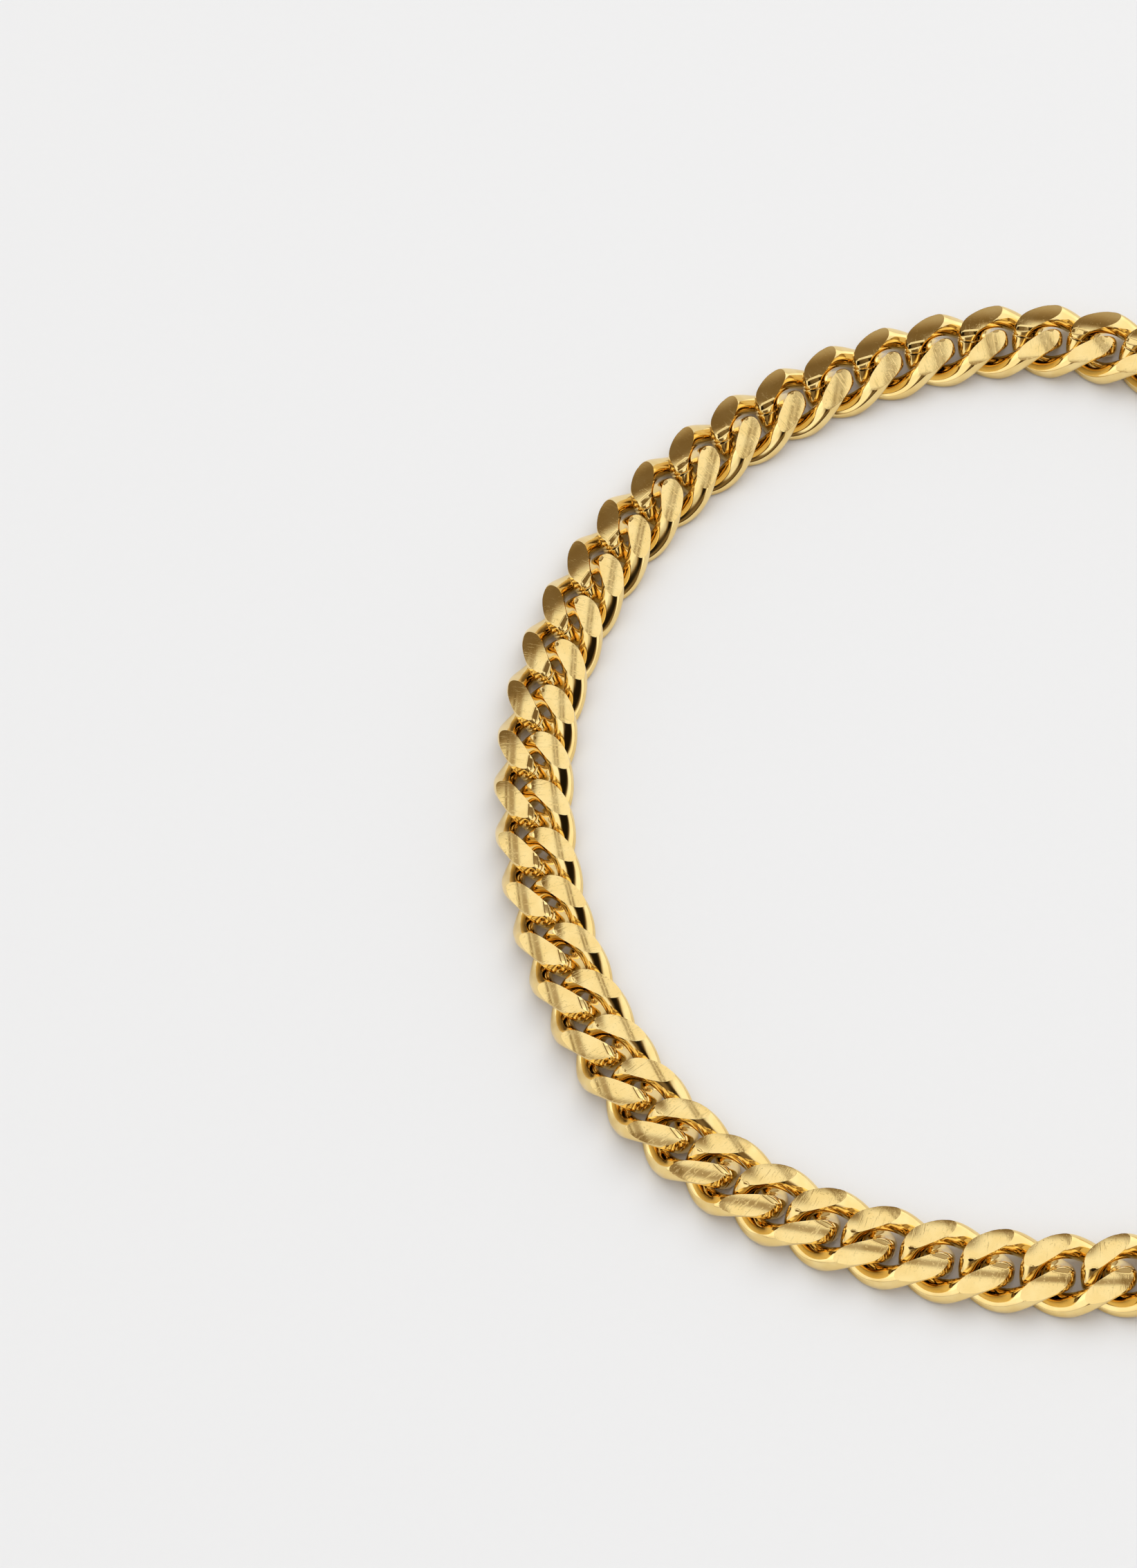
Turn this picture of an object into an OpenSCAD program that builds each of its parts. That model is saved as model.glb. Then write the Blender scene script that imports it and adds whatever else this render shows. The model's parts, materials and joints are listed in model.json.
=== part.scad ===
// Flat curb chain necklace with a lobster clasp, lying open on a flat surface.
// The chain's links lie along a smooth loop. The clasp and the end ring lie apart, unfastened.

/* [Chain] */
// Distance from one link's middle to the next
pitch = 7; // [6.8:0.1:7.4]
// Thickness of the chain between its two ground faces
chain_h = 4.4; // [4.1:0.1:4.6]

/* [Link wire] */
// Width of the wire, from the inside of the link to the outside
wire_w = 2.85; // [2.6:0.05:2.9]
// Height of the wire, across the link
wire_h = 2.7; // [2.4:0.05:2.75]
// Half the distance between the middles of a link's two long sides
side_r = 3.5; // [3.45:0.05:3.6]
// Bevel on the wire's inner corners
inner_bevel = 0.75; // [0.7:0.05:1]
// Bevel on the wire's outer corners
outer_bevel = 0.6; // [0.5:0.05:0.8]
// Squareness of the oval: 2 is an ellipse
oval_power = 2.45; // [2.3:0.05:2.6]
// Twist that the two ends of a very long link would tend to, in degrees
twist = 85; // [80:1:88]
// Distance from the link's middle at which 0.7 of that twist is reached
twist_run = 6.9; // [6.6:0.1:7.4]
// Room that two linked wires have along the chain
link_play = 0.75; // [0.7:0.05:0.85]

/* [Rings] */
// Radius of a ring, to the middle of its wire
ring_r = 3.3; // [3.3:0.1:3.5]
// Thickness of the ring wire
ring_wire = 1.4; // [1.2:0.1:1.4]
// Room between a ring and the end of its link
ring_play = 0.9; // [0.8:0.05:1.1]
// Tilt of a ring about the chain's line, in degrees
ring_tilt = 20; // [16:1:22]

/* [Clasp] */
// Thickness of the clasp
clasp_h = 3.6; // [3.2:0.1:3.8]
// Radius of the clasp's housing
housing_r = 3.2; // [3.0:0.1:3.3]
// Outer radius of the hook
hook_r = 4.1; // [4.0:0.1:4.3]
// Radius of the hook's opening
hook_hole_r = 2.3; // [2.2:0.05:2.4]
// Thickness of the lever
lever_h = 1.5; // [1.2:0.1:1.6]
// Radius of the pin
pin_r = 0.6; // [0.5:0.05:0.65]
// Room between the lever and the housing
lever_play = 0.15; // [0.12:0.01:0.2]

/* [Hidden] */
$fn = 48;
LINKS = 54;
MIDDLE = 27;
// How the chain is laid: each stretch has a number of joints and the bend at each joint, in degrees
LAY = [[9, 7.2], [4, 9.8], [6, 6], [7, 6.1], [6, 5], [5, 7.5], [7, 5], [9, 7.6]];
// Heading of the middle link, and where the middle of the whole necklace lies from that link
MIDDLE_HEADING = -96.5;
LOOP_MIDDLE = [62.71, -9.07];
gold = "goldenrod";

function two_digits(n) = n < 10 ? str("0", n) : str(n);

// The bend at each joint, read from the stretches
joint_bend = [for (stretch = LAY) for (k = [1:stretch[0]]) stretch[1]];

// A link's heading and middle, found by walking from the middle link in either direction
function heading(n) =
    n == MIDDLE ? MIDDLE_HEADING
    : n > MIDDLE ? heading(n - 1) + joint_bend[n - 2]
    : heading(n + 1) - joint_bend[n - 1];
function along(angle) = [cos(angle), sin(angle)];
headings = [for (n = [1:LINKS]) heading(n)];
function middle(n) =
    n == MIDDLE ? -LOOP_MIDDLE
    : n > MIDDLE ? middle(n - 1) + pitch / 2 * (along(headings[n - 2]) + along(headings[n - 1]))
    : middle(n + 1) - pitch / 2 * (along(headings[n]) + along(headings[n - 1]));

// The link is a twisted oval: rings of eight wire points round its centre line, cut off flat above and below
RINGS = 20;
half_length = pitch / 2 + wire_w / 2 + link_play / 2;
wire_profile = let (a = wire_w / 2, b = wire_h / 2, i = inner_bevel, o = outer_bevel)
    [[a, b - o], [a - o, b], [-a + i, b], [-a, b - i], [-a, -b + i], [-a + i, -b], [a - o, -b], [a, -b + o]];
SIDES = len(wire_profile);

function bowed(v, power) = sign(v) * pow(abs(v), power);
function oval_point(t) = [half_length * bowed(cos(t), 2 / oval_power), side_r * bowed(sin(t), 2 / oval_power)];
function oval_outward(p) =
    let (g = [bowed(p.x / half_length, oval_power - 1) / half_length, bowed(p.y / side_r, oval_power - 1) / side_r])
    g / norm(g);
function twist_at(x) = -twist * x / sqrt(x * x + twist_run * twist_run);
function ground(z) = max(-chain_h / 2, min(chain_h / 2, z));
function wire_point(p, outward, uv) =
    let (turn = twist_at(p.x), q = p + uv.x * outward)
    [q.x, q.y * cos(turn) - uv.y * sin(turn), ground(q.y * sin(turn) + uv.y * cos(turn))];

link_points = [
    for (i = [0:RINGS - 1])
        let (p = oval_point((i + 0.5) * 360 / RINGS), outward = oval_outward(p))
            for (uv = wire_profile) wire_point(p, outward, uv)
];
function corner(i, k) = (i % RINGS) * SIDES + k % SIDES;
link_faces = [
    for (i = [0:RINGS - 1], k = [0:SIDES - 1])
        each [
            [corner(i, k), corner(i + 1, k + 1), corner(i, k + 1)],
            [corner(i, k), corner(i + 1, k), corner(i + 1, k + 1)]
        ]
];

module link(n) {
    color(gold)
        translate([middle(n).x, middle(n).y, chain_h / 2])
            rotate(headings[n - 1])
                polyhedron(points = link_points, faces = link_faces);
}

// Each end of the chain has its own frame: X runs outward along the chain from the last link's middle
module at_end(n, turned) {
    translate([middle(n).x, middle(n).y, 0])
        rotate(headings[n - 1] + turned)
            children();
}

module torus(r, wire) {
    rotate_extrude()
        translate([r, 0])
            circle(d = wire);
}

// The ring passes through the last link, its wire just inside the link's end
ring_x = pitch / 2 + link_play / 2 - ring_play - ring_wire / 2 + ring_r;
ring_z = chain_h / 2;
module ring() {
    color(gold)
        translate([ring_x, 0, ring_z])
            rotate([ring_tilt, 0, 0])
                torus(ring_r, ring_wire);
}
module end_ring() { at_end(1, 180) ring(); }
module clasp_ring() { at_end(LINKS, 0) ring(); }

// The clasp's own frame: X runs from its eye towards its hook, Z = 0 is the middle of its thickness
eye_r = 1.5;
eye_wire = 1;
eye_x = ring_x + ring_r;
housing_x = 4.6;
hook_x = 9.9;
pivot = [5, 1.5];
pin_fit = 0.05;
lever_half_w = 0.8;
lever_hub_r = 1.4;
pocket_r = 2;
spring_r = 1.9;
spring_leaf = 0.25;
spring_w = 1.8;
lever_knee = [7.4, 2];
lever_tip = [11.4, 1.55];
tab = [6.9, 3.7];
tab_r = 0.7;
// How far the lever's pocket and its straight stretch run along the clasp
pocket_end = hook_x + 0.5;
lever_straight_end = hook_x + 0.9;
pocket_reach = 6;
mouth_from = 35;
mouth_to = 128;
module at_clasp() {
    at_end(LINKS, 0)
        translate([eye_x, 0, ring_z])
            children();
}

// The gap in the hook that the lever closes, as a wedge from the hook's middle
module mouth() {
    reach = 2 * hook_r;
    polygon([[0, 0], reach * along(mouth_from), reach * along((mouth_from + mouth_to) / 2), reach * along(mouth_to)]);
}
module hook_outline() {
    difference() {
        circle(hook_r);
        circle(hook_hole_r);
        mouth();
    }
}
module housing_outline() {
    translate([housing_x, 0])
        circle(housing_r);
    translate([eye_r, -eye_r])
        square([housing_x - eye_r, 2 * eye_r]);
}
module lever_pocket_outline() {
    translate(pivot)
        circle(pocket_r);
    translate([pivot.x, pivot.y - spring_r])
        square([pocket_end - pivot.x, pocket_reach]);
}
module eye() {
    rotate([90, 0, 0])
        torus(eye_r, eye_wire);
}
module clasp_body() {
    color(gold)
        at_clasp()
            difference() {
                union() {
                    eye();
                    translate([0, 0, -clasp_h / 2])
                        linear_extrude(clasp_h)
                            difference() {
                                union() {
                                    housing_outline();
                                    translate([hook_x, 0])
                                        hook_outline();
                                }
                                translate([hook_x, 0])
                                    circle(hook_hole_r);
                            }
                }
                translate([0, 0, -lever_h / 2 - lever_play])
                    linear_extrude(lever_h + 2 * lever_play)
                        lever_pocket_outline();
                translate([pivot.x, pivot.y, 0])
                    cylinder(r = pin_r, h = 2 * clasp_h, center = true);
            }
}

module lever_outline() {
    intersection() {
        union() {
            hull() {
                translate(pivot)
                    circle(lever_hub_r);
                translate(tab)
                    circle(tab_r);
                translate(lever_knee)
                    circle(lever_half_w);
            }
            hull() {
                translate(lever_knee)
                    circle(lever_half_w);
                translate(lever_tip)
                    circle(lever_half_w);
            }
        }
        union() {
            translate([hook_x, 0])
                circle(hook_hole_r - lever_play);
            translate([0, -2 * hook_r])
                square([lever_straight_end, 4 * hook_r]);
        }
    }
}
module clasp_lever() {
    color(gold)
        at_clasp()
            difference() {
                translate([0, 0, -lever_h / 2])
                    linear_extrude(lever_h)
                        lever_outline();
                translate([pivot.x, pivot.y, 0])
                    cylinder(r = pin_r + pin_fit, h = 2 * lever_h, center = true);
            }
}
module clasp_pin() {
    color(gold)
        at_clasp()
            translate([pivot.x, pivot.y, 0])
                cylinder(r = pin_r, h = clasp_h, center = true);
}
// A curved leaf that lies against the back of the lever's pocket
module clasp_spring() {
    color("silver")
        at_clasp()
            translate([pivot.x, pivot.y, -lever_h / 2])
                linear_extrude(lever_h)
                    intersection() {
                        difference() {
                            circle(spring_r);
                            circle(spring_r - spring_leaf);
                        }
                        translate([-spring_r, -spring_w / 2])
                            square([spring_r, spring_w]);
                    }
}

for (n = [1:LINKS])
    link(n);
end_ring();
clasp_ring();
clasp_body();
clasp_lever();
clasp_pin();
clasp_spring();
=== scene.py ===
"""The looks of a flat curb chain necklace: ground gold links, two rings and a lobster clasp."""

import json
import math
import random

import bmesh
import bpy
import numpy as np
from mathutils import Matrix, Vector


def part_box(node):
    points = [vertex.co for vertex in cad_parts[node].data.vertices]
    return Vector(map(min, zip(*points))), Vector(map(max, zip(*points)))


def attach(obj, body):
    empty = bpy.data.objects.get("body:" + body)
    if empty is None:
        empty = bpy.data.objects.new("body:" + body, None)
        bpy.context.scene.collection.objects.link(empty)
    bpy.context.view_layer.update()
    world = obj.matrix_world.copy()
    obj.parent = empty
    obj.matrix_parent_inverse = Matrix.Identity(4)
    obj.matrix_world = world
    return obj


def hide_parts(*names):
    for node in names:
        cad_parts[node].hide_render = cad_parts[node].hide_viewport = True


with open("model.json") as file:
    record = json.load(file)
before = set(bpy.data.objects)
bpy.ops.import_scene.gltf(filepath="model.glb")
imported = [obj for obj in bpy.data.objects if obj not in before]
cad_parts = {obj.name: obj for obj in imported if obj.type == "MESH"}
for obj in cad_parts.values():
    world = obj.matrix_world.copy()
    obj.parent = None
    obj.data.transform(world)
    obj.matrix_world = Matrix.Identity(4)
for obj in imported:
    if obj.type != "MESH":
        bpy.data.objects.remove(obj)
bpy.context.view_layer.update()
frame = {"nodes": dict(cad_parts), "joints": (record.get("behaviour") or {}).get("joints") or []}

MM = 0.001
UP = Vector((0, 0, 1))
rng = random.Random(54)

# ---------------------------------------------------------------- what the frame says

joints = {joint["name"]: joint for joint in frame["joints"]}
link_names = sorted(name for name in frame["nodes"] if name.startswith("link_"))
chain_low, chain_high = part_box(link_names[len(link_names) // 2])
chain_h = chain_high.z - chain_low.z


def pivot(name):
    return Vector(joints[name]["pos_m"])


bends = sorted(name for name in joints if name.startswith("bend_"))
hinges = [pivot("end_ring_swing"), *map(pivot, bends), pivot("clasp_ring_swing")]
pitch = (hinges[2] - hinges[1]).length


def link_place(number):
    """Where a link's middle is, and the way that it points along the chain."""
    start, end = hinges[number], hinges[number + 1]
    forward = (end - start).normalized()
    if number == 0:
        start = end - forward * pitch
    middle = start + forward * pitch / 2
    return middle, forward


def upright(middle, forward):
    """A place on the surface whose X runs along forward and whose Z is up."""
    side = UP.cross(forward)
    turn = Matrix((forward, side, UP)).transposed().to_4x4()
    return Matrix.Translation(middle) @ turn


# ---------------------------------------------------------------- sizes of the visible links

# The wire, and the oval that its middle follows
WIRE_W = 2.90 * MM
WIRE_H = 2.76 * MM
SIDE_R = 3.48 * MM
OVAL_POWER = 2.45
TWIST = math.radians(85)
TWIST_RUN = 6.9 * MM
OUTER_SQUARENESS = 2.6
INNER_SQUARENESS = 1.75
LINK_PLAY = 0.74 * MM
WIRE_RINGS = 170
WIRE_SIDES = 36
# The lap that grinds the faces: its domes, where along the link a face is highest, and how far it may lean
CHAIN_DOME_R = 30 * MM
FACE_DOME_R = 70 * MM
FACE_X = 2.0 * MM
LEAN = 0.006
LINK_KINDS = 3
LAP_ROWS = 44
LAP_COLUMNS = 36
LAP_HALF_X = 8 * MM
LAP_HALF_Y = 6.5 * MM
LAP_TOP = 9 * MM
# Points closer than this are joined once a link is ground
JOIN_WITHIN = 0.004 * MM
# The solder seam, measured back from the link's end
SEAM_AT = 0.62 * MM
SEAM_W = 0.10 * MM
SEAM_DEPTH = 0.06 * MM

# ---------------------------------------------------------------- sizes of the rings and the clasp

RING_R = 3.3 * MM
RING_WIRE = 1.4 * MM
RING_TILT = math.radians(20)
RING_STEPS = 96
RING_SIDES = 32
# An edge that turns by more than this stays a crisp edge
SHARP = math.radians(35)
SOFT_STEPS = 3


# ---------------------------------------------------------------- shaders written as expressions

class Signal:
    """A number, colour or vector inside a shader. Numbers can be added, multiplied and so on."""

    def __init__(self, tree, socket):
        self.tree = tree
        self.socket = socket

    def math(self, operation, *others):
        node = self.tree.nodes.new("ShaderNodeMath")
        node.operation = operation
        for socket, value in zip(node.inputs, (self, *others)):
            plug(self.tree, socket, value)
        return Signal(self.tree, node.outputs[0])

    def __add__(self, other):
        return self.math("ADD", other)

    __radd__ = __add__

    def __mul__(self, other):
        return self.math("MULTIPLY", other)

    __rmul__ = __mul__

    def __sub__(self, other):
        return self.math("SUBTRACT", other)

    def __rsub__(self, other):
        return self.math("MULTIPLY_ADD", -1.0, other)

    def __truediv__(self, other):
        return self.math("DIVIDE", other)

    def __abs__(self):
        return self.math("ABSOLUTE")

    def clamped(self):
        return self.math("MAXIMUM", 0.0).math("MINIMUM", 1.0)

    def smooth(self, low, high):
        """From 0 at low to 1 at high, with soft ends."""
        node = self.tree.nodes.new("ShaderNodeMapRange")
        node.interpolation_type = "SMOOTHSTEP"
        for name, value in (("Value", self), ("From Min", low), ("From Max", high)):
            plug(self.tree, node.inputs[name], value)
        return Signal(self.tree, node.outputs["Result"])


def plug(tree, socket, value):
    if isinstance(value, Signal):
        tree.links.new(value.socket, socket)
    else:
        socket.default_value = value


class Shader:
    """A node tree that is filled one node at a time."""

    def __init__(self, owner):
        owner.use_nodes = True
        self.tree = owner.node_tree
        self.tree.nodes.clear()

    def node(self, kind, settings=None, output=0, **values):
        made = self.tree.nodes.new("ShaderNode" + kind)
        for name, value in (settings or {}).items():
            setattr(made, name, value)
        for name, value in values.items():
            plug(self.tree, made.inputs[name.replace("_", " ")], value)
        return Signal(self.tree, made.outputs[output])

    def mix(self, share, low, high):
        made = self.tree.nodes.new("ShaderNodeMix")
        made.data_type = "RGBA"
        for socket, value in zip((made.inputs[0], made.inputs[6], made.inputs[7]), (share, low, high)):
            plug(self.tree, socket, value)
        return Signal(self.tree, made.outputs[2])

    def vector(self, operation, first, second):
        made = self.tree.nodes.new("ShaderNodeVectorMath")
        made.operation = operation
        plug(self.tree, made.inputs[0], first)
        plug(self.tree, made.inputs[1], second)
        return Signal(self.tree, made.outputs[0])

    def dot(self, first, second):
        made = self.vector("DOT_PRODUCT", first, second).socket.node
        return Signal(self.tree, made.outputs["Value"])

    def parts(self, vector):
        made = self.tree.nodes.new("ShaderNodeSeparateXYZ")
        plug(self.tree, made.inputs[0], vector)
        return [Signal(self.tree, out) for out in made.outputs]

    def finish(self, surface, kind="OutputMaterial"):
        out = self.tree.nodes.new("ShaderNode" + kind)
        plug(self.tree, out.inputs["Surface"], surface)


def own_place(shader):
    """Each piece's own coordinates, shifted by a random amount so that no two links match."""
    place = shader.node("TexCoord", output="Object")
    chance = shader.node("ObjectInfo", output="Random")
    shift = shader.node("CombineXYZ", X=chance * 0.07, Y=chance * 0.03, Z=chance * 0.05)
    return shader.vector("ADD", place, shift)


GOLD_WARM = (0.88, 0.64, 0.25, 1)
GOLD_PALE = (0.94, 0.72, 0.32, 1)


def polished_gold(name):
    """Tumbled, plated gold: bright, with faint cloudiness and a few soft dents."""
    material = bpy.data.materials.new(name)
    shader = Shader(material)
    place = own_place(shader)
    cloud = shader.node("TexNoise", {"noise_dimensions": "3D"}, Vector=place, Scale=420.0, Detail=2.0)
    fine = shader.node("TexNoise", Vector=place, Scale=2600.0, Detail=3.0)
    colour = shader.mix(cloud.smooth(0.35, 0.7), GOLD_WARM, GOLD_PALE)
    height = cloud * 0.6 + fine * 0.02
    bump = shader.node("Bump", Strength=0.08, Distance=0.00006, Height=height)
    surface = shader.node(
        "BsdfPrincipled",
        Base_Color=colour,
        Metallic=1.0,
        Roughness=0.06 + 0.06 * cloud.smooth(0.45, 0.8),
        Normal=bump,
    )
    shader.finish(surface)
    return material


def ground_gold(name):
    """The flat faces: lapped, so they keep fine straight scratches and small nicks."""
    material = bpy.data.materials.new(name)
    shader = Shader(material)
    place = own_place(shader)
    along = shader.node("Mapping", Vector=place, Rotation=(0, 0, 0.5), Scale=(1.0, 0.06, 1.0))
    across = shader.node("Mapping", Vector=place, Rotation=(0, 0, -0.9), Scale=(1.0, 0.09, 1.0))
    lapping = shader.node("TexNoise", Vector=along, Scale=9000.0, Detail=3.0)
    strokes = shader.node("TexNoise", Vector=across, Scale=4200.0, Detail=4.0)
    cloud = shader.node("TexNoise", Vector=place, Scale=380.0, Detail=3.0)
    scratches = strokes.smooth(0.58, 0.72)
    specks = shader.node("TexNoise", Vector=place, Scale=3300.0, Detail=2.0).smooth(0.62, 0.72)
    colour = shader.mix(cloud.smooth(0.3, 0.75), GOLD_WARM, GOLD_PALE)
    height = lapping * 0.20 - scratches * 0.4 - specks * 0.3 + cloud * 0.3
    bump = shader.node("Bump", Strength=0.10, Distance=0.00004, Height=height)
    surface = shader.node(
        "BsdfPrincipled",
        Base_Color=colour,
        Metallic=1.0,
        Roughness=0.055 + 0.08 * scratches + 0.03 * cloud.smooth(0.4, 0.7) + 0.06 * specks,
        Normal=bump,
    )
    shader.finish(surface)
    return material


def spring_steel(name):
    material = bpy.data.materials.new(name)
    shader = Shader(material)
    place = own_place(shader)
    grain = shader.node("TexNoise", Vector=place, Scale=5000.0, Detail=3.0)
    bump = shader.node("Bump", Strength=0.2, Distance=0.00005, Height=grain)
    surface = shader.node(
        "BsdfPrincipled",
        Base_Color=shader.mix(grain, (0.50, 0.49, 0.46, 1), (0.66, 0.65, 0.62, 1)),
        Metallic=1.0,
        Roughness=0.22 + 0.12 * grain,
        Normal=bump,
    )
    shader.finish(surface)
    return material


wire_gold = polished_gold("polished_gold")
face_gold = ground_gold("ground_gold")
clasp_gold = polished_gold("clasp_gold")
steel = spring_steel("spring_steel")


# ---------------------------------------------------------------- the links

def bowed(values, power):
    return np.sign(values) * np.abs(values) ** power


def centre_line(steps):
    """Even points round the link's oval, their outward directions, and extra points at the solder seam."""
    half_length = pitch / 2 + WIRE_W / 2 + LINK_PLAY / 2
    turn = np.linspace(0, 2 * math.pi, 4001)[:-1]
    x = half_length * bowed(np.cos(turn), 2 / OVAL_POWER)
    y = SIDE_R * bowed(np.sin(turn), 2 / OVAL_POWER)
    step = np.hypot(np.diff(x, append=x[0]), np.diff(y, append=y[0]))
    run = np.concatenate([[0], np.cumsum(step)])
    whole = run[-1]
    even = np.linspace(0, whole, steps, endpoint=False)
    seam = whole - SEAM_AT
    near = np.abs(even - seam) > 3 * SEAM_W
    extra = seam + SEAM_W * np.array([-2.0, -1.0, -0.4, 0.4, 1.0, 2.0])
    at = np.sort(np.concatenate([even[near], extra]))
    x = np.interp(at, run, np.append(x, x[0]))
    y = np.interp(at, run, np.append(y, y[0]))
    out_x = bowed(x / half_length, OVAL_POWER - 1) / half_length
    out_y = bowed(y / SIDE_R, OVAL_POWER - 1) / SIDE_R
    size = np.hypot(out_x, out_y)
    sunk = SEAM_DEPTH * (np.abs(at - seam) < 0.7 * SEAM_W)
    return x, y, out_x / size, out_y / size, sunk


def wire_section(steps):
    """The wire's outline across, flatter towards the outside of the link than towards its hole."""
    facing = np.linspace(0, 2 * math.pi, steps, endpoint=False) + math.pi / steps
    power = np.where(np.cos(facing) > 0, OUTER_SQUARENESS, INNER_SQUARENESS)
    u = bowed(WIRE_W / 2 * np.cos(facing), 1 / (power - 1))
    v = bowed(WIRE_H / 2 * np.sin(facing), 1 / (power - 1))
    size = (np.abs(u) ** power + np.abs(v) ** power) ** (1 / power)
    return WIRE_W / 2 * u / size, WIRE_H / 2 * v / size


def twisted_wire(rings, sides):
    """Vertices and quads of the closed, twisted oval before it is ground."""
    x, y, out_x, out_y, sunk = centre_line(rings)
    u, v = wire_section(sides)
    reach = np.hypot(u, v)
    shrink = 1 - sunk[:, None] / reach[None, :]
    flat_x = x[:, None] + u * shrink * out_x[:, None]
    flat_y = y[:, None] + u * shrink * out_y[:, None]
    height = v * shrink
    turn = -TWIST * x / np.sqrt(x * x + TWIST_RUN ** 2)
    cos, sin = np.cos(turn)[:, None], np.sin(turn)[:, None]
    points = np.stack([flat_x, flat_y * cos - height * sin, flat_y * sin + height * cos], -1)
    count = len(x)
    faces = []
    for i in range(count):
        j = (i + 1) % count
        for k in range(sides):
            m = (k + 1) % sides
            faces.append((i * sides + k, j * sides + k, j * sides + m, i * sides + m))
    return points.reshape(-1, 3).tolist(), faces


def lap_height(x, y, lean):
    """How high the lap leaves the metal: domed across the chain, and slightly along each face."""
    away_x = x - math.copysign(FACE_X, -y)
    dome = y ** 2 / (2 * CHAIN_DOME_R) + away_x ** 2 / (2 * FACE_DOME_R)
    return chain_h / 2 - dome - abs(lean[0] * x + lean[1] * y)


def lap_cutter(under, lean):
    """The metal that lapping takes off one side of a link, as a solid block."""
    block = bmesh.new()
    nx, ny = LAP_ROWS, LAP_COLUMNS
    low, high = [], []
    for i in range(nx + 1):
        for k in range(ny + 1):
            x = LAP_HALF_X * (2 * i / nx - 1)
            y = LAP_HALF_Y * (2 * k / ny - 1)
            low.append(block.verts.new((x, y, lap_height(x, y, lean))))
            high.append(block.verts.new((x, y, LAP_TOP)))
    row = ny + 1
    for i in range(nx):
        for k in range(ny):
            a, b, c, d = i * row + k, (i + 1) * row + k, (i + 1) * row + k + 1, i * row + k + 1
            block.faces.new([low[q] for q in (a, d, c, b)])
            block.faces.new([high[q] for q in (a, b, c, d)])
    rim = [i * row for i in range(nx + 1)]
    rim += [nx * row + k for k in range(1, ny + 1)]
    rim += [i * row + ny for i in range(nx - 1, -1, -1)]
    rim += [k for k in range(ny - 1, 0, -1)]
    for a, b in zip(rim, rim[1:] + rim[:1]):
        block.faces.new((low[a], low[b], high[b], high[a]))
    if under:
        bmesh.ops.rotate(block, verts=block.verts, matrix=Matrix.Rotation(math.pi, 3, "X"))
    bmesh.ops.recalc_face_normals(block, faces=block.faces)
    mesh = bpy.data.meshes.new("lap")
    block.to_mesh(mesh)
    mesh.materials.append(face_gold)
    cutter = bpy.data.objects.new("lap", mesh)
    bpy.context.scene.collection.objects.link(cutter)
    return cutter


def applied(piece):
    """The piece's mesh with its modifiers applied."""
    graph = bpy.context.evaluated_depsgraph_get()
    return bpy.data.meshes.new_from_object(piece.evaluated_get(graph))


def link_mesh(lean):
    """A twisted link, ground on both sides by laps that lean slightly."""
    points, faces = twisted_wire(WIRE_RINGS, WIRE_SIDES)
    mesh = bpy.data.meshes.new("curb_link")
    mesh.from_pydata(points, [], faces)
    mesh.materials.append(wire_gold)
    mesh.materials.append(face_gold)
    blank = bpy.data.objects.new("blank", mesh)
    bpy.context.scene.collection.objects.link(blank)
    cutters = [lap_cutter(under, lean) for under in (False, True)]
    for cutter in cutters:
        grind = blank.modifiers.new("grind", "BOOLEAN")
        grind.operation = "DIFFERENCE"
        grind.solver = "EXACT"
        grind.material_mode = "TRANSFER"
        grind.object = cutter
    bpy.context.view_layer.update()
    ground = applied(blank)
    for extra in (blank, *cutters):
        bpy.data.objects.remove(extra)
    tidy = bmesh.new()
    tidy.from_mesh(ground)
    bmesh.ops.remove_doubles(tidy, verts=tidy.verts, dist=JOIN_WITHIN)
    bmesh.ops.dissolve_degenerate(tidy, edges=tidy.edges, dist=JOIN_WITHIN / 2)
    bmesh.ops.triangulate(tidy, faces=[face for face in tidy.faces if len(face.verts) > 4])
    for face in tidy.faces:
        face.smooth = True
    for edge in tidy.edges:
        kinds = {face.material_index for face in edge.link_faces}
        if len(kinds) > 1:
            edge.smooth = False
    tidy.to_mesh(ground)
    tidy.free()
    ground.name = "ground_link"
    return ground


def make_link(number, mesh):
    name = link_names[number]
    middle, forward = link_place(number)
    piece = bpy.data.objects.new("curb_" + name, mesh)
    bpy.context.scene.collection.objects.link(piece)
    piece.matrix_world = upright(Vector((middle.x, middle.y, (chain_low.z + chain_high.z) / 2)), forward)
    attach(piece, name)
    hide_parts(name)
    return piece


links = [link_mesh((rng.uniform(-LEAN, LEAN), rng.uniform(-LEAN, LEAN))) for _ in range(LINK_KINDS)]
for number in range(len(link_names)):
    make_link(number, rng.choice(links))


# ---------------------------------------------------------------- the rings and the clasp

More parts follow.
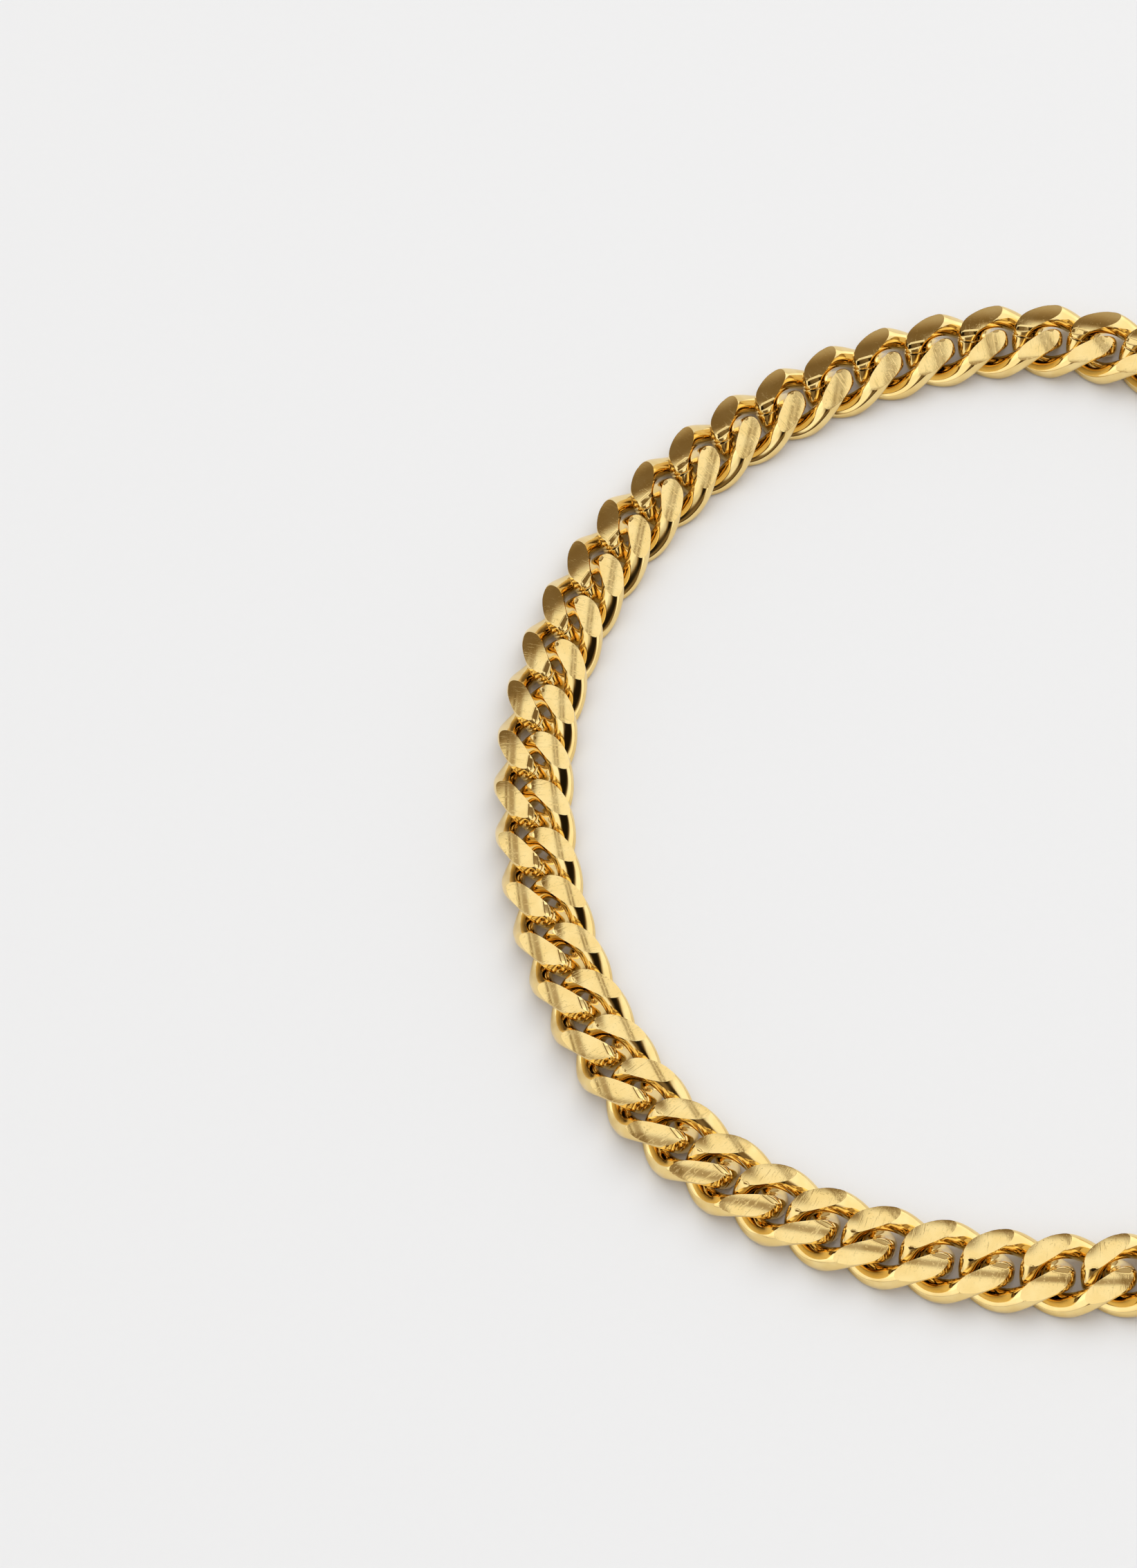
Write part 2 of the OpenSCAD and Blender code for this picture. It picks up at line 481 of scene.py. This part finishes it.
def make_ring(name, outward):
    """A smooth ring of round wire, leaning a little about the chain's line."""
    low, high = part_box(name)
    side = UP.cross(outward)
    turn = Matrix((outward, side, UP)).transposed() @ Matrix.Rotation(RING_TILT, 3, "X")
    mesh = bpy.data.meshes.new(name)
    ring = bmesh.new()
    rows = []
    for i in range(RING_STEPS):
        a = 2 * math.pi * i / RING_STEPS
        row = []
        for k in range(RING_SIDES):
            b = 2 * math.pi * k / RING_SIDES
            reach = RING_R + RING_WIRE / 2 * math.cos(b)
            lift = RING_WIRE / 2 * math.sin(b)
            row.append(ring.verts.new((reach * math.cos(a), reach * math.sin(a), lift)))
        rows.append(row)
    for i, row in enumerate(rows):
        after = rows[(i + 1) % RING_STEPS]
        for k in range(RING_SIDES):
            m = (k + 1) % RING_SIDES
            ring.faces.new((row[k], after[k], after[m], row[m])).smooth = True
    ring.to_mesh(mesh)
    ring.free()
    mesh.materials.append(clasp_gold)
    piece = bpy.data.objects.new("round_" + name, mesh)
    bpy.context.scene.collection.objects.link(piece)
    piece.matrix_world = Matrix.Translation((low + high) / 2) @ turn.to_4x4()
    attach(piece, name)
    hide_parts(name)


def make_softened(name, body, width):
    """A piece of the clasp with its sharp edges softened, as tumbling leaves them."""
    node = frame["nodes"][name]
    mesh = node.data.copy()
    solid = bmesh.new()
    solid.from_mesh(mesh)
    bmesh.ops.remove_doubles(solid, verts=solid.verts, dist=JOIN_WITHIN / 2)
    bmesh.ops.dissolve_limit(solid, angle_limit=math.radians(1), verts=solid.verts, edges=solid.edges)
    sharp = [edge for edge in solid.edges if len(edge.link_faces) == 2 and edge.calc_face_angle() > SHARP]
    bmesh.ops.bevel(
        solid,
        geom=sharp,
        offset=width,
        segments=SOFT_STEPS,
        profile=0.5,
        clamp_overlap=True,
        affect="EDGES",
    )
    for face in solid.faces:
        face.smooth = True
    for edge in solid.edges:
        edge.smooth = len(edge.link_faces) != 2 or edge.calc_face_angle() < SHARP
    solid.to_mesh(mesh)
    solid.free()
    mesh.materials.clear()
    mesh.materials.append(clasp_gold)
    piece = bpy.data.objects.new("soft_" + name, mesh)
    bpy.context.scene.collection.objects.link(piece)
    piece.matrix_world = node.matrix_world.copy()
    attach(piece, body)
    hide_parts(name)


_, first_forward = link_place(0)
_, last_forward = link_place(len(link_names) - 1)
make_ring("end_ring", -first_forward)
make_ring("clasp_ring", last_forward)
make_softened("clasp_body", "clasp", 0.16 * MM)
make_softened("clasp_lever", "clasp_lever", 0.10 * MM)
make_softened("clasp_pin", "clasp", 0.08 * MM)
spring = frame["nodes"]["clasp_spring"]
spring.data.materials.clear()
spring.data.materials.append(steel)


# ---------------------------------------------------------------- the studio

def paper(name):
    material = bpy.data.materials.new(name)
    shader = Shader(material)
    place = shader.node("TexCoord", output="Object")
    fibre = shader.node("TexNoise", Vector=place, Scale=900.0, Detail=3.0)
    surface = shader.node(
        "BsdfPrincipled",
        Base_Color=shader.mix(fibre, (0.865, 0.862, 0.86, 1), (0.875, 0.872, 0.87, 1)),
        Roughness=0.9,
        Specular_IOR_Level=0.1,
    )
    shader.finish(surface)
    return material


def make_floor():
    mesh = bpy.data.meshes.new("floor")
    sheet = bmesh.new()
    bmesh.ops.create_grid(sheet, x_segments=8, y_segments=8, size=3.0)
    sheet.to_mesh(mesh)
    sheet.free()
    mesh.materials.append(paper("pale_paper"))
    floor = bpy.data.objects.new("floor", mesh)
    bpy.context.scene.collection.objects.link(floor)
    return floor


CAMERA_RISE = math.radians(57.45)
CAMERA_ROLL = math.radians(-6.87)
CAMERA_DISTANCE = 0.6404
CAMERA_LENS = 120.0
# What the camera looks at, from the middle link's middle
CAMERA_AIM = Vector((4.21 * MM, -0.69 * MM, 0))


# The dark place in the studio, straight in front of the necklace, as angles from its middle
DARK_CORE = math.radians(18)
DARK_RIM = math.radians(33)
# Ribs of the overhead panel, as place and half width over its height. Only the last one runs crosswise
LONG_RIBS = ((0.175, 0.008), (0.202, 0.008), (-0.232, 0.010))
WIDE_RIB = (-0.185, 0.026)
CROSS_RIB = (0.355, 0.030)
RIB_SHADE = 0.93
# What the room, the panel's dark gaps and its bright parts send down, and what the paper gets from above
ROOM_GLOW = 0.03
PANEL_GAP = 0.16
PANEL_GLOW = 1.06
PAPER_FILL = 1.60
WARM_SHADE = (1.0, 0.70, 0.38, 1)
WHITE = (1.0, 1.0, 1.0, 1)


def near(value, line, width):
    """1 where a value is close to a line and 0 away from it, with soft ends."""
    return 1.0 - abs(value - line).smooth(width * 0.6, width * 1.4)


def make_sky():
    """Soft panels overhead with dark ribs between them, a dim back wall and a dark place for the camera."""
    world = bpy.data.worlds.new("studio")
    bpy.context.scene.world = world
    shader = Shader(world)
    look = shader.node("TexCoord", output="Generated")
    x, y, z = shader.parts(look)
    height = z.math("MAXIMUM", 0.02)
    # Places on the overhead panel, over its height: across to the right, and along away from the viewer
    across, along = x / height, y / height
    left = across * -1.0
    far_edge = along - 0.20 * across.smooth(0.0, 0.08)
    panel = left.smooth(-0.42, -0.34) * (1.0 - left.smooth(0.50, 0.75))
    panel = panel * along.smooth(0.02, 0.08) * (1.0 - far_edge.smooth(0.62, 0.78))
    ribs = 0.75 * near(across, *WIDE_RIB) + 0.8 * near(along, *CROSS_RIB)
    for place, width in LONG_RIBS:
        ribs = ribs + near(across, place, width)
    panel = panel * (1.0 - RIB_SHADE * ribs.clamped())
    panel = PANEL_GAP + (1.0 - PANEL_GAP) * panel
    sides = abs(x).smooth(0.35, 0.6) * z.smooth(-0.05, 0.08) * (1.0 - z.smooth(0.55, 0.8))
    wall = y.smooth(0.2, 0.5) * (1.0 - z.smooth(0.60, 0.72)) * 0.30
    front = shader.dot(look, (0, -math.cos(CAMERA_RISE), math.sin(CAMERA_RISE)))
    dark = front.smooth(math.cos(DARK_RIM), math.cos(DARK_CORE))
    level = ROOM_GLOW + PANEL_GLOW * panel * z.smooth(0.1, 0.3) + sides + wall
    level = level * (1.0 - RIB_SHADE * dark)
    fill = shader.node("LightPath", output="Is Diffuse Ray")
    level = level * (1.0 - fill) + PAPER_FILL * fill * z * z
    bright = level.smooth(0.1, 0.8).math("MAXIMUM", fill)
    colour = shader.mix(bright, WARM_SHADE, WHITE)
    surface = shader.node("Background", Color=colour, Strength=level)
    shader.finish(surface, "OutputWorld")


KEY_SIZE = 1.2
KEY_ENERGY = 5.0
KEY_PLACE = (0.9, 0.7, 1.3)


def make_lights():
    key = bpy.data.lights.new("key_panel", "AREA")
    key.shape = "RECTANGLE"
    key.size = key.size_y = KEY_SIZE
    key.energy = KEY_ENERGY
    lamp = bpy.data.objects.new("key_panel", key)
    lamp.visible_glossy = False
    bpy.context.scene.collection.objects.link(lamp)
    lamp.location = KEY_PLACE
    lamp.rotation_euler = (-Vector(lamp.location)).to_track_quat("-Z", "Y").to_euler()


def make_camera():
    middle, _ = link_place(len(link_names) // 2 - 1)
    aim = middle + CAMERA_AIM
    ahead = Vector((0, math.cos(CAMERA_RISE), -math.sin(CAMERA_RISE)))
    above = Vector((0, math.sin(CAMERA_RISE), math.cos(CAMERA_RISE)))
    level = Vector((1, 0, 0))
    right = math.cos(CAMERA_ROLL) * level + math.sin(CAMERA_ROLL) * above
    top = math.cos(CAMERA_ROLL) * above - math.sin(CAMERA_ROLL) * level
    data = bpy.data.cameras.new("camera")
    data.lens = CAMERA_LENS
    data.sensor_width = 36.0
    data.clip_start, data.clip_end = 0.05, 20.0
    camera = bpy.data.objects.new("camera", data)
    bpy.context.scene.collection.objects.link(camera)
    turn = Matrix((right, top, -ahead)).transposed().to_4x4()
    camera.matrix_world = Matrix.Translation(aim - ahead * CAMERA_DISTANCE) @ turn
    bpy.context.scene.camera = camera


make_floor()
make_sky()
make_lights()
make_camera()
bpy.context.scene.view_settings.view_transform = "Standard"
